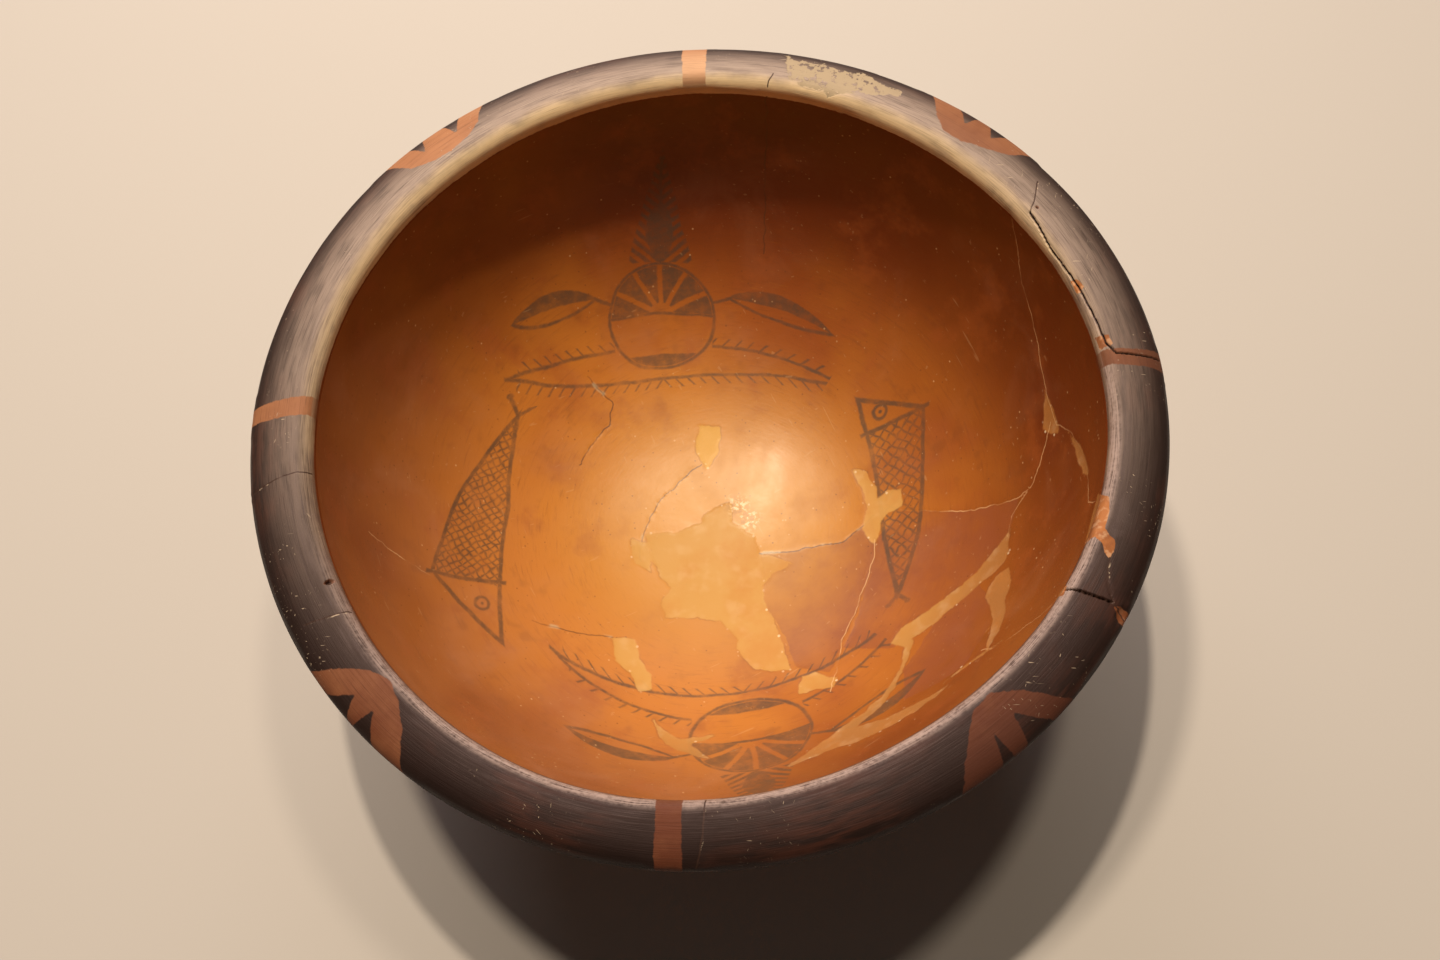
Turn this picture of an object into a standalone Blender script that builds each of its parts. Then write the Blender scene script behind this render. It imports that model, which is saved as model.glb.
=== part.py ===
"""Painted pottery basin: a wide round-bottomed bowl with a rolled lip, hand-built from one clay and fired.

Its section is turned about +Z, made a little uneven as a hand-built pot is, and then cut by the open cracks,
the chips and the flaked spots of its lip. The origin is in the middle of the flattened underside.
"""
import math

import bmesh
import bpy
from mathutils import Vector

# Sizes in metres
LIP_DIAMETER = 0.398
HEIGHT = 0.165
LIP_WIDTH = 0.0275
LIP_THICKNESS = 0.018
CROWN_INSET = 0.0065
CROWN_TO_MOUTH = 0.0068
CROWN_TO_EDGE = 0.0078
LIP_CURL = 0.012
NECK_FILLET = 0.006
WALL = 0.0075
FLOOR = 0.009
FOOT_DIAMETER = 0.072

# How full the bowl is: 2 is an ellipse, upright at the mouth, and more has a flatter floor and a fuller belly
FULLNESS = 2.5

# The unevenness of a hand-built rim: number of waves round it, height in metres, angle of a crest in degrees
MOUTH_WAVES = ((3, 0.0014, -6), (4, 0.0008, -16))
LIP_WAVES = ((2, 0.0009, -24), (3, 0.0008, 12))

# Open cracks between the joined sherds. Each follows points on the lip's top, given as the angle round it in
# degrees and the place across it, from 0 at the mouth to 1 at the lip's outermost edge.
CRACK_WIDTH = 0.0012
CRACK_DEPTH = 0.0028
CRACKS = (
    ((27.8, 0.60), (24.1, 0.12), (9.8, 0.06), (0.0, 0.11), (-1.4, 0.50), (-2.4, 0.97)),
    ((-38.8, 0.04), (-37.6, 0.69), (-37.2, 0.96)),
    ((-175.6, 0.02), (-174.4, 0.90)),
    ((-95.9, 0.04), (-96.3, 0.50), (-97.0, 0.97)),
    ((-153.2, 0.02), (-154.3, 0.64)),
    ((72.8, 0.04), (72.0, 0.45)),
)

# Chips and flaked spots of the lip: angle in degrees, place across the lip, and in metres the half length
# round the lip, the half width across it and the depth
CHIPS = (
    (-158.1, 0.10, 0.0022, 0.0022, 0.0020),
    (-64.0, 0.02, 0.0035, 0.0018, 0.0012),
    (-27.0, 0.20, 0.0130, 0.0045, 0.0009),
    (-35.4, 0.88, 0.0040, 0.0030, 0.0012),
)

# How finely the round form is faceted, and the angle in degrees from which an edge is shaded as sharp
SIDES_ROUND = 84
STEPS_WALL = 14
STEPS_BODY = 11
STEPS_LIP_TOP = 8
STEPS_LIP_UNDER = 6
STEPS_SHOULDER = 5
STEPS_FILLET = 3
CRACK_STEP = 0.006
SHARP_EDGE = 35

# What a cutter stands out of the surface, so that its end face never lies on it
CUT_CLEARANCE = 0.0015

LIP_RADIUS = LIP_DIAMETER / 2
MOUTH_RADIUS = LIP_RADIUS - LIP_WIDTH
MOUTH_HEIGHT = HEIGHT - CROWN_TO_MOUTH
CROWN_RADIUS = MOUTH_RADIUS + CROWN_INSET
EDGE_HEIGHT = HEIGHT - CROWN_TO_EDGE
NECK_HEIGHT = HEIGHT - LIP_THICKNESS
FOOT_RADIUS = FOOT_DIAMETER / 2
BODY_RADIUS = MOUTH_RADIUS + WALL


def bowl_curve(radius, depth, share):
    """A point of the bowl's round form, from its rim at share 0 to its lowest point at share 1."""
    angle = share * math.pi / 2
    return radius * math.cos(angle) ** (2 / FULLNESS), MOUTH_HEIGHT - depth * math.sin(angle)


def outer_depth():
    """How deep the outer round form reaches, so that the flat underside cuts it at the foot's width."""
    return MOUTH_HEIGHT / math.sqrt(1 - (FOOT_RADIUS / BODY_RADIUS) ** FULLNESS)


def outer_share(height):
    """Where along the outer round form a height lies."""
    return math.asin((MOUTH_HEIGHT - height) / outer_depth()) * 2 / math.pi


def arc(centre, half_width, half_height, start, end, steps):
    """Points along an ellipse's arc in the section, with the angles in degrees from the outward direction."""
    angles = [math.radians(start + (end - start) * step / steps) for step in range(steps + 1)]
    return [
        (centre[0] + half_width * math.cos(angle), centre[1] + half_height * math.sin(angle))
        for angle in angles
    ]


def fillet(start, corner, end, steps):
    """Points along the curve that rounds a corner of the section."""
    points = []
    for step in range(steps + 1):
        t = step / steps
        points.append(tuple(
            (1 - t) ** 2 * a + 2 * t * (1 - t) * b + t ** 2 * c for a, b, c in zip(start, corner, end)
        ))
    return points


def section():
    """Half the basin's section as (radius, height) points, from the foot up, over the lip and down inside."""
    foot_share = outer_share(0)
    neck_share = outer_share(NECK_HEIGHT - NECK_FILLET)
    body = [
        bowl_curve(BODY_RADIUS, outer_depth(), foot_share + (neck_share - foot_share) * step / STEPS_BODY)
        for step in range(STEPS_BODY + 1)
    ]
    neck_corner = bowl_curve(BODY_RADIUS, outer_depth(), outer_share(NECK_HEIGHT))
    curl_radius = LIP_RADIUS - LIP_CURL
    neck = fillet(body[-1], neck_corner, (curl_radius, NECK_HEIGHT), STEPS_FILLET)
    under = arc((curl_radius, EDGE_HEIGHT), LIP_CURL, EDGE_HEIGHT - NECK_HEIGHT, -90, 0, STEPS_LIP_UNDER)
    top = arc((CROWN_RADIUS, EDGE_HEIGHT), LIP_RADIUS - CROWN_RADIUS, CROWN_TO_EDGE, 0, 90, STEPS_LIP_TOP)
    shoulder = arc((CROWN_RADIUS, MOUTH_HEIGHT), CROWN_INSET, CROWN_TO_MOUTH, 90, 180, STEPS_SHOULDER)
    inner_depth = MOUTH_HEIGHT - FLOOR
    inside = [bowl_curve(MOUTH_RADIUS, inner_depth, step / STEPS_WALL) for step in range(1, STEPS_WALL)]
    return body + neck[1:] + under[1:] + top[1:] + shoulder[1:] + inside


def wave(waves, angle):
    """How far the rim's unevenness moves it outward at an angle in radians."""
    return sum(size * math.cos(count * (angle - math.radians(crest))) for count, size, crest in waves)


def turned(radius, height, angle):
    """A point of the section turned to an angle in radians, with an unevenness that fades to the foot."""
    across = min(max((radius - MOUTH_RADIUS) / LIP_WIDTH, 0), 1)
    shift = (1 - across) * wave(MOUTH_WAVES, angle) + across * wave(LIP_WAVES, angle)
    uneven = radius + shift * height / HEIGHT
    return Vector((uneven * math.cos(angle), uneven * math.sin(angle), height))


def lip_top(across, angle):
    """A point on the lip's top, by its place across the lip and its angle in radians."""
    out = LIP_WIDTH * across - CROWN_INSET
    if out < 0:
        height = MOUTH_HEIGHT + CROWN_TO_MOUTH * math.sqrt(max(0, 1 - (out / CROWN_INSET) ** 2))
    else:
        share = out / (LIP_WIDTH - CROWN_INSET)
        height = EDGE_HEIGHT + CROWN_TO_EDGE * math.sqrt(max(0, 1 - share ** 2))
    return turned(CROWN_RADIUS + out, height, angle)


def lip_normal(across, angle):
    """The direction out of the lip's top at a place on it, from points a little to each side."""
    nudge = 0.01
    inner = max(across - nudge, 0)
    outer = min(across + nudge, 1)
    slope = lip_top(outer, angle) - lip_top(inner, angle)
    round_lip = lip_top(across, angle + nudge) - lip_top(across, angle - nudge)
    return slope.cross(round_lip).normalized()


def new_object(name, mesh, material):
    """An object of a mesh, linked to the scene, with its material."""
    mesh.materials.append(material)
    item = bpy.data.objects.new(name, mesh)
    bpy.context.scene.collection.objects.link(item)
    return item


def make_mesh(name, points, faces):
    """A mesh with its faces pointing out."""
    mesh = bpy.data.meshes.new(name)
    mesh.from_pydata(points, [], faces)
    shape = bmesh.new()
    shape.from_mesh(mesh)
    bmesh.ops.recalc_face_normals(shape, faces=shape.faces)
    shape.to_mesh(mesh)
    shape.free()
    return mesh


def bowl_mesh():
    """The turned bowl, closed by the flat underside and by the middle of the floor inside."""
    profile = section()
    rows = len(profile)
    points = []
    for side in range(SIDES_ROUND):
        angle = 2 * math.pi * side / SIDES_ROUND
        points += [turned(radius, height, angle) for radius, height in profile]
    faces = []
    for side in range(SIDES_ROUND):
        here = side * rows
        there = (side + 1) % SIDES_ROUND * rows
        faces += [(here + row, there + row, there + row + 1, here + row + 1) for row in range(rows - 1)]
    underside = len(points)
    points.append(Vector((0, 0, 0)))
    points.append(Vector((0, 0, FLOOR)))
    for side in range(SIDES_ROUND):
        here = side * rows
        there = (side + 1) % SIDES_ROUND * rows
        faces.append((underside, there, here))
        faces.append((underside + 1, here + rows - 1, there + rows - 1))
    return make_mesh("basin", points, faces)


def crack_path(places):
    """Close-set (place across, angle in radians) pairs along a crack's hand-set points."""
    path = []
    for (angle_a, across_a), (angle_b, across_b) in zip(places, places[1:]):
        round_lip = math.radians(abs(angle_b - angle_a)) * CROWN_RADIUS
        length = math.hypot(round_lip, (across_b - across_a) * LIP_WIDTH)
        steps = max(1, round(length / CRACK_STEP))
        for step in range(steps):
            t = step / steps
            angle = math.radians(angle_a + (angle_b - angle_a) * t)
            path.append((across_a + (across_b - across_a) * t, angle))
    last_angle, last_across = places[-1]
    path.append((last_across, math.radians(last_angle)))
    return path


def crack_mesh(places):
    """A V-shaped cutter that follows a crack, deepest along its middle."""
    path = crack_path(places)
    reach = (CRACK_DEPTH + CUT_CLEARANCE) / CRACK_DEPTH * CRACK_WIDTH / 2
    points = []
    for index, (across, angle) in enumerate(path):
        before = lip_top(*path[max(index - 1, 0)])
        after = lip_top(*path[min(index + 1, len(path) - 1)])
        here = lip_top(across, angle)
        out = lip_normal(across, angle)
        side = out.cross(after - before).normalized()
        points += [
            here + out * CUT_CLEARANCE + side * reach,
            here + out * CUT_CLEARANCE - side * reach,
            here - out * CRACK_DEPTH,
        ]
    faces = [(0, 1, 2), (len(points) - 1, len(points) - 2, len(points) - 3)]
    for index in range(len(path) - 1):
        ring = index * 3
        faces += [(ring + k, ring + (k + 1) % 3, ring + 3 + (k + 1) % 3, ring + 3 + k) for k in range(3)]
    return make_mesh("crack cutter", points, faces)


def chip_mesh(angle_degrees, across, half_length, half_width, depth):
    """A round cutter for a chip or flaked spot, pressed into the lip's top to its depth."""
    angle = math.radians(angle_degrees)
    out = lip_normal(across, angle)
    round_lip = Vector((-math.sin(angle), math.cos(angle), 0))
    over_lip = out.cross(round_lip).normalized()
    centre = lip_top(across, angle)
    shape = bmesh.new()
    bmesh.ops.create_icosphere(shape, subdivisions=2, radius=1)
    for vertex in shape.verts:
        x, y, z = vertex.co
        vertex.co = centre + round_lip * x * half_length + over_lip * y * half_width + out * z * depth
    bmesh.ops.recalc_face_normals(shape, faces=shape.faces)
    mesh = bpy.data.meshes.new("chip cutter")
    shape.to_mesh(mesh)
    shape.free()
    return mesh


def cut(item, mesh, material):
    """Take a cutter's shape out of an object."""
    cutter = new_object(mesh.name, mesh, material)
    cutter.display_type = "WIRE"
    cutter.hide_render = True
    step = item.modifiers.new("Cut " + cutter.name, "BOOLEAN")
    step.operation = "DIFFERENCE"
    step.solver = "EXACT"
    step.object = cutter


def fired_clay():
    """Burnished red clay under a dark painted lip, as one plain colour."""
    material = bpy.data.materials.new("Burnished red clay")
    material.use_nodes = True
    shader = material.node_tree.nodes["Principled BSDF"]
    shader.inputs["Base Color"].default_value = (0.42, 0.145, 0.040, 1)
    shader.inputs["Roughness"].default_value = 0.42
    shader.inputs["Metallic"].default_value = 0.0
    return material


for old in list(bpy.data.objects):
    bpy.data.objects.remove(old)

clay = fired_clay()
basin = new_object("basin", bowl_mesh(), clay)
for places in CRACKS:
    cut(basin, crack_mesh(places), clay)
for chip in CHIPS:
    cut(basin, chip_mesh(*chip), clay)
basin.data.shade_smooth()
basin.data.set_sharp_from_angle(angle=math.radians(SHARP_EDGE))
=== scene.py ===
import math
from functools import partialmethod

import bmesh
import bpy
import numpy as np
from mathutils import Matrix, Vector, kdtree, noise


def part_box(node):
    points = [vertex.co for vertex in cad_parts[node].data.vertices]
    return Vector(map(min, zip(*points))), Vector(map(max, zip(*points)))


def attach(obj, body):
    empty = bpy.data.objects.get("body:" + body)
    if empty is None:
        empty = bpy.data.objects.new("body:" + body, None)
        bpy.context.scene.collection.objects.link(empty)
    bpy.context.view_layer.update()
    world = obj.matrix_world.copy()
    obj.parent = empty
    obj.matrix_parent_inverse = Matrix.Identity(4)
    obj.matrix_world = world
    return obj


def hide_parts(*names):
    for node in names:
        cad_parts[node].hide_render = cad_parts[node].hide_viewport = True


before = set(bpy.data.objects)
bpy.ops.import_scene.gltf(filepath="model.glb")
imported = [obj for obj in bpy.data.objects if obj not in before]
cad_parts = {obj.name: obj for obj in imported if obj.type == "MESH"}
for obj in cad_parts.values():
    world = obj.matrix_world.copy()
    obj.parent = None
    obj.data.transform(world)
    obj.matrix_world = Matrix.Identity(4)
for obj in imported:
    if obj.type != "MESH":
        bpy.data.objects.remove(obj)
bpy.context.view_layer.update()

# The pot itself: one basin of red clay, built up by hand from coils, scraped thin and rubbed smooth with a
# pebble before it was fired. Its lip is rolled outward, and its round bottom is flattened a little so that it
# stands. Sizes are in metres. A run is the distance along the section from the floor's middle inside.
LIP_DIAMETER = 0.398
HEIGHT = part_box("basin")[1].z
LIP_WIDTH = 0.0275
LIP_THICKNESS = 0.018
CROWN_INSET = 0.0065
CROWN_TO_MOUTH = 0.0068
CROWN_TO_EDGE = 0.0078
LIP_CURL = 0.012
NECK_FILLET = 0.006
WALL = 0.0075
FLOOR = 0.009
FOOT_DIAMETER = 0.072
FULLNESS = 2.5
MOUTH_WAVES = ((3, 0.0014, -6), (4, 0.0008, -16))
LIP_WAVES = ((2, 0.0009, -24), (3, 0.0008, 12))
PAINT_OVER = 0.0035
ARC_STEPS = 60
FILLET_STEPS = 20
INSIDE_STEPS = 900
BODY_STEPS = 600

LIP_RADIUS = LIP_DIAMETER / 2
MOUTH_RADIUS = LIP_RADIUS - LIP_WIDTH
MOUTH_HEIGHT = HEIGHT - CROWN_TO_MOUTH
CROWN_RADIUS = MOUTH_RADIUS + CROWN_INSET
EDGE_HEIGHT = HEIGHT - CROWN_TO_EDGE
NECK_HEIGHT = HEIGHT - LIP_THICKNESS
FOOT_RADIUS = FOOT_DIAMETER / 2
BODY_RADIUS = MOUTH_RADIUS + WALL
OUTER_DEPTH = MOUTH_HEIGHT / math.sqrt(1 - (FOOT_RADIUS / BODY_RADIUS) ** FULLNESS)


def bowl_curve(radius, depth, share):
    """Points of the bowl's round form, from its rim at share 0 to its lowest point at share 1."""
    angle = np.asarray(share) * math.pi / 2
    across = radius * np.abs(np.cos(angle)) ** (2 / FULLNESS)
    return np.stack((across, MOUTH_HEIGHT - depth * np.sin(angle)), axis=-1)


def outer_share(height):
    """Where along the outer round form a height lies."""
    return math.asin((MOUTH_HEIGHT - height) / OUTER_DEPTH) * 2 / math.pi


def arc(centre, half_width, half_height, start, end):
    """Points along an ellipse's arc in the section, with its angles in degrees from the outward direction."""
    angle = np.radians(np.linspace(start, end, ARC_STEPS))
    return np.array(centre) + np.stack((half_width * np.cos(angle), half_height * np.sin(angle)), axis=-1)


def fillet(start, corner, end):
    """Points along the curve that rounds a corner of the section."""
    t = np.linspace(0, 1, FILLET_STEPS)[:, None]
    return (1 - t) ** 2 * np.array(start) + 2 * t * (1 - t) * np.array(corner) + t ** 2 * np.array(end)


curl_radius = LIP_RADIUS - LIP_CURL
neck_share = outer_share(NECK_HEIGHT - NECK_FILLET)
neck_corner = bowl_curve(BODY_RADIUS, OUTER_DEPTH, outer_share(NECK_HEIGHT))
inside = bowl_curve(MOUTH_RADIUS, MOUTH_HEIGHT - FLOOR, np.linspace(1, 0, INSIDE_STEPS))
shoulder = arc((CROWN_RADIUS, MOUTH_HEIGHT), CROWN_INSET, CROWN_TO_MOUTH, 180, 90)
lip_top = arc((CROWN_RADIUS, EDGE_HEIGHT), LIP_RADIUS - CROWN_RADIUS, CROWN_TO_EDGE, 90, 0)
lip_under = arc((curl_radius, EDGE_HEIGHT), LIP_CURL, EDGE_HEIGHT - NECK_HEIGHT, 0, -90)
body = bowl_curve(BODY_RADIUS, OUTER_DEPTH, np.linspace(neck_share, outer_share(0), BODY_STEPS))
neck = fillet((curl_radius, NECK_HEIGHT), neck_corner, body[0])
SECTION = np.concatenate((inside, shoulder[1:], lip_top[1:], lip_under[1:], neck[1:], body[1:], [(0, 0)]))
RUNS = np.concatenate(([0], np.cumsum(np.linalg.norm(np.diff(SECTION, axis=0), axis=1))))
SLOPES = np.gradient(SECTION, RUNS, axis=0)
MOUTH_RUN = RUNS[len(inside) - 1]
PAINT_RUN = MOUTH_RUN - PAINT_OVER
EDGE_RUN = RUNS[len(inside) + len(shoulder) + len(lip_top) - 3]
NECK_RUN = RUNS[-len(body) - 1]
FOOT_RUN = RUNS[-2]
END_RUN = RUNS[-1]


def wave(waves, angle):
    """How far the rim's unevenness moves it outward at an angle."""
    return sum(size * np.cos(count * (angle - math.radians(crest))) for count, size, crest in waves)


def on_pot(angle, run):
    """Points of the pot's plain form, by the angle round it in radians and the run along its section."""
    radius = np.interp(run, RUNS, SECTION[:, 0])
    height = np.interp(run, RUNS, SECTION[:, 1])
    across = np.clip((radius - MOUTH_RADIUS) / LIP_WIDTH, 0, 1)
    shift = (1 - across) * wave(MOUTH_WAVES, angle) + across * wave(LIP_WAVES, angle)
    uneven = radius + shift * height / HEIGHT
    return np.stack((uneven * np.cos(angle), uneven * np.sin(angle), height), axis=-1)


def out_of_pot(angle, run):
    """The directions straight out of the pot's surface."""
    upward = np.interp(run, RUNS, SLOPES[:, 0])
    outward = -np.interp(run, RUNS, SLOPES[:, 1])
    normal = np.stack((outward * np.cos(angle), outward * np.sin(angle), upward), axis=-1)
    return normal / np.linalg.norm(normal, axis=-1, keepdims=True)


# The breaks: the pot was found in pieces and joined again. Some joins gape as dark cracks in the lip, finer
# ones show as thin dark or pale lines, and bits of the lip are chipped off. A place on the lip is given in
# degrees and as a share across it from the mouth, and one in the bowl in degrees and as a run in millimetres.
OPEN_WIDTH = 0.0010
OPEN_DEPTH = 0.0028
OPEN_CRACKS = (
    ((24.1, 0.12), (17.0, 0.03), (9.8, 0.06), (0.0, 0.11), (-2.0, 0.24), (-3.0, 0.97)),
    ((-38.8, 0.02), (-38.2, 0.30), (-37.5, 0.70)),
)
LIP_HAIRS = (
    ((27.8, 0.60), (25.6, 0.34), (24.1, 0.12)),
    ((-175.8, 0.02), (-175.6, 0.40), (-174.4, 0.94)),
    ((-95.9, 0.04), (-96.3, 0.50), (-97.0, 0.97)),
    ((-152.9, 0.04), (-153.6, 0.38), (-154.5, 0.71)),
    ((72.8, 0.04), (72.3, 0.26)),
    ((-32.6, 0.40), (-34.0, 0.42), (-36.0, 0.55), (-37.5, 0.70)),
    ((-37.5, 0.70), (-38.3, 0.97)),
)
# Pits and chips: their place on the lip, half length round it, half width across it and depth
LIP_PITS = (
    (-158.1, 0.11, 0.0011, 0.0024, 0.0020),
    (24.2, 0.27, 0.0010, 0.0008, 0.0008),
)
LIP_CHIPS = (
    (-64.0, 0.02, 0.0035, 0.0018, 0.0012),
    (-27.0, 0.20, 0.0130, 0.0045, 0.0009),
    (-38.2, 0.90, 0.0040, 0.0028, 0.0012),
)
HAIR_WIDTH = 0.0005
HAIR_DEPTH = 0.00025
DARK_HAIRS = (
    ((124, 112), (123, 92), (129, 85), (149, 84)),
    ((98, 39), (130, 34), (165, 38), (-163, 46)),
    ((-40, 27), (-16, 69), (-6, 84)),
    ((-154, 115), (-137, 85)),
    ((73, 254), (73, 201), (72, 158)),
)
PALE_HAIRS = (
    ((-6, 100), (-11, 138), (-12, 171), (-11, 179), (-15, 166), (-19, 165)),
    ((2, 203), (-3, 204), (-6, 214), (-10, 222), (-15, 229), (-21, 235), (-24, 256)),
    ((-2, 200), (-11, 180)),
    ((-16, 85), (-36, 87), (-54, 95), (-67, 119)),
    ((-173, 205), (-168, 165)),
    ((-38, 256), (-40, 215), (-43, 198), (-44, 184)),
    ((27, 256), (20, 226), (8, 207), (2, 203)),
)
TRACE_STEP = 0.0004
FINE_STRAY = 3.1
LINES_APART = 50
CORNER_STEP = 3
LINE_SEED = 1


def lip_run(across):
    """The run of a place across the top of the lip."""
    top = (RUNS >= MOUTH_RUN) & (RUNS <= EDGE_RUN)
    return float(np.interp(MOUTH_RADIUS + across * LIP_WIDTH, SECTION[top, 0], RUNS[top]))


def lip_places(places):
    return [(math.radians(angle), lip_run(across)) for angle, across in places]


def past_lip(places):
    """Lip places again, where one over 1 goes on under the lip, and one below 0 down into the mouth."""
    past = []
    for angle, across in places:
        on_lip = min(max(across, 0), 1)
        past.append((math.radians(angle), lip_run(on_lip) + LIP_WIDTH * (across - on_lip)))
    return past


def bowl_places(places):
    return [(math.radians(angle), run / 1000) for angle, run in places]


def trace(places, wander, grain=0.006, closed=False):
    """Close-set (angle, run) points along a line on the pot, which strays a little from the straight way."""
    if closed:
        places = list(places) + [places[0]]
    line = []
    travelled = 0
    start = Vector(on_pot(*places[0]))
    for (angle_a, run_a), (angle_b, run_b) in zip(places, places[1:]):
        a = Vector(on_pot(angle_a, run_a))
        b = Vector(on_pot(angle_b, run_b))
        steps = max(2, round((b - a).length / TRACE_STEP))
        for step in range(steps):
            t = step / steps
            spot = a.lerp(b, t)
            reach = travelled + (b - a).length * t
            stray = Vector((reach / grain, start.x * LINES_APART, start.y * LINES_APART))
            coarse = noise.noise_vector(stray) * wander
            fine = noise.noise_vector(stray * FINE_STRAY) * wander * 0.5
            run = run_a + (run_b - run_a) * t + coarse.x + fine.x
            line.append((math.atan2(spot.y, spot.x) + (coarse.y + fine.y) / max(spot.xy.length, 0.01), run))
        travelled += (b - a).length
    return np.array(line)


class Lines:
    """Lines traced on the pot, with the nearest one, and the side of it, found from any place."""

    def __init__(self, traces):
        spots = [on_pot(line[:, 0], line[:, 1]) for line in traces]
        sides = []
        for line, spot in zip(traces, spots):
            side = np.cross(out_of_pot(line[:, 0], line[:, 1]), np.gradient(spot, axis=0))
            sides.append(side / np.maximum(np.linalg.norm(side, axis=1, keepdims=True), 1e-9))
        self.traces = traces
        self.spots = np.concatenate(spots)
        self.sides = np.concatenate(sides)
        self.tree = kdtree.KDTree(len(self.spots))
        for index, spot in enumerate(self.spots):
            self.tree.insert(spot, index)
        self.tree.balance()

    def near(self, points):
        """The distance from each point to the nearest line, and how far it lies to that line's left."""
        found = [self.tree.find(point) for point in points]
        index = np.array([hit[1] for hit in found])
        distance = np.array([hit[2] for hit in found])
        return distance, ((points - self.spots[index]) * self.sides[index]).sum(axis=1)


def flat_place(angle, run):
    """A place on the pot laid out flat, as if the wall were unrolled from the middle of the floor."""
    return np.stack((run * np.cos(angle), run * np.sin(angle)), axis=-1)


class Areas(Lines):
    """Closed outlines traced on the pot, with the depth inside them found from any place."""

    def depth(self, points, angle, run):
        """How far inside the nearest outline each point lies, and below zero how far outside."""
        places = flat_place(angle, run)
        within = np.zeros(len(points), bool)
        for line in self.traces:
            corners = flat_place(line[::CORNER_STEP, 0], line[::CORNER_STEP, 1])
            low, high = corners.min(axis=0), corners.max(axis=0)
            chosen = np.flatnonzero(((places > low) & (places < high)).all(axis=1))
            x, y = places[chosen, 0, None], places[chosen, 1, None]
            ax, ay = corners[:, 0], corners[:, 1]
            bx, by = np.roll(ax, -1), np.roll(ay, -1)
            crosses = (ay > y) != (by > y)
            hit = crosses & (x < (bx - ax) * (y - ay) / np.where(by == ay, 1e-12, by - ay) + ax)
            within[chosen] |= hit.sum(axis=1) % 2 == 1
        distance = self.near(points)[0]
        return np.where(within, distance, -distance)


noise.seed_set(LINE_SEED)
open_cracks = Lines([trace(lip_places(places), 0.0003, 0.004) for places in OPEN_CRACKS])
dark_hairs = Lines(
    [trace(bowl_places(places), 0.0010) for places in DARK_HAIRS]
    + [trace(lip_places(places), 0.0005, 0.004) for places in LIP_HAIRS]
)
pale_hairs = Lines([trace(bowl_places(places), 0.0008) for places in PALE_HAIRS])
pits = Lines([
    trace(lip_places(((angle, across), (angle + 0.3, across))), 0)
    for angle, across, *_ in LIP_PITS
])

# The mending: gaps between the joined pieces are filled with yellow plaster, rubbed down to the level of the
# wall, and small ones in the lip with orange plaster. Each is given by its outline.
BOWL_FILLS = (
    ((93, 62), (82, 59), (83, 46), (93, 35), (99, 48)),
    ((177, 24), (150, 10), (94, 13), (60, 17), (20, 8), (-20, 20), (-41, 26), (-34, 46), (-50, 39), (-63, 41),
     (-68, 54), (-69, 68), (-73, 94), (-84, 86), (-89, 71), (-88, 66), (-95, 53), (-108, 52), (-126, 58),
     (-133, 50), (-133, 42), (-152, 40), (177, 39)),
    ((180, 47), (-172, 37), (-152, 44), (-164, 49)),
    ((-137, 85), (-130, 78), (-124, 87), (-118, 93), (-116, 102), (-119, 106), (-124, 97), (-130, 96)),
    ((-112, 121), (-109, 126), (-105, 132), (-96, 127), (-102, 136), (-97, 148), (-105, 140), (-109, 133)),
    ((-71, 101), (-67, 103), (-65, 110), (-63, 113), (-66, 118), (-70, 112), (-74, 111), (-73, 105)),
    ((15, 79), (12, 86), (8, 86), (4, 88), (0, 87), (2, 94), (1, 101), (-5, 100), (-6, 93), (-9, 88),
     (-14, 87), (-17, 84), (-11, 77), (-1, 81)),
    ((-18, 166), (-24, 168), (-31, 150), (-38, 138), (-44, 130), (-50, 138), (-56, 145), (-62, 152),
     (-68, 155), (-64, 162), (-57, 172), (-52, 181), (-60, 177), (-68, 171), (-76, 164), (-84, 168),
     (-78, 157), (-70, 149), (-60, 145), (-52, 138), (-47, 129), (-48, 120), (-42, 120), (-36, 129),
     (-27, 147)),
    ((-26, 171), (-29, 176), (-33, 178), (-36, 183), (-40, 188), (-45, 188), (-40, 181), (-37, 175),
     (-34, 168), (-32, 161), (-28, 163)),
    ((-52, 175), (-47, 182), (-42, 198), (-44, 187), (-48, 178)),
    ((4, 203), (-1, 205), (-5, 206), (-4, 199), (-2, 194), (1, 198)),
    ((-6, 213), (-10, 223), (-16, 232), (-15, 225), (-11, 218)),
)
LIP_FILLS = (
    ((-21.8, -0.30), (-24.0, 0.10), (-26.0, 0.15), (-28.2, 0.15), (-29.2, 0.25), (-30.0, 0.36),
     (-31.2, 0.42), (-32.6, 0.40), (-32.0, 0.29), (-30.8, 0.19), (-30.2, 0.08), (-31.2, -0.05),
     (-28.5, -0.26), (-25.0, -0.36)),
    ((-37.8, 0.74), (-37.3, 0.84), (-37.5, 1.10), (-38.9, 1.10), (-39.0, 0.92), (-38.3, 0.82)),
    ((11.5, 0.02), (9.0, 0.02), (9.4, 0.14), (11.0, 0.12)),
    ((1.4, 0.02), (-0.8, 0.03), (-0.6, 0.22), (0.9, 0.20)),
    ((-37.0, -0.36), (-38.0, 0.02), (-39.8, 0.06), (-39.6, -0.10), (-38.6, -0.44)),
)
fills = Areas(
    [trace(bowl_places(places), 0.0011, closed=True) for places in BOWL_FILLS]
    + [trace(past_lip(places), 0.0006, 0.004, closed=True) for places in LIP_FILLS]
)

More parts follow.
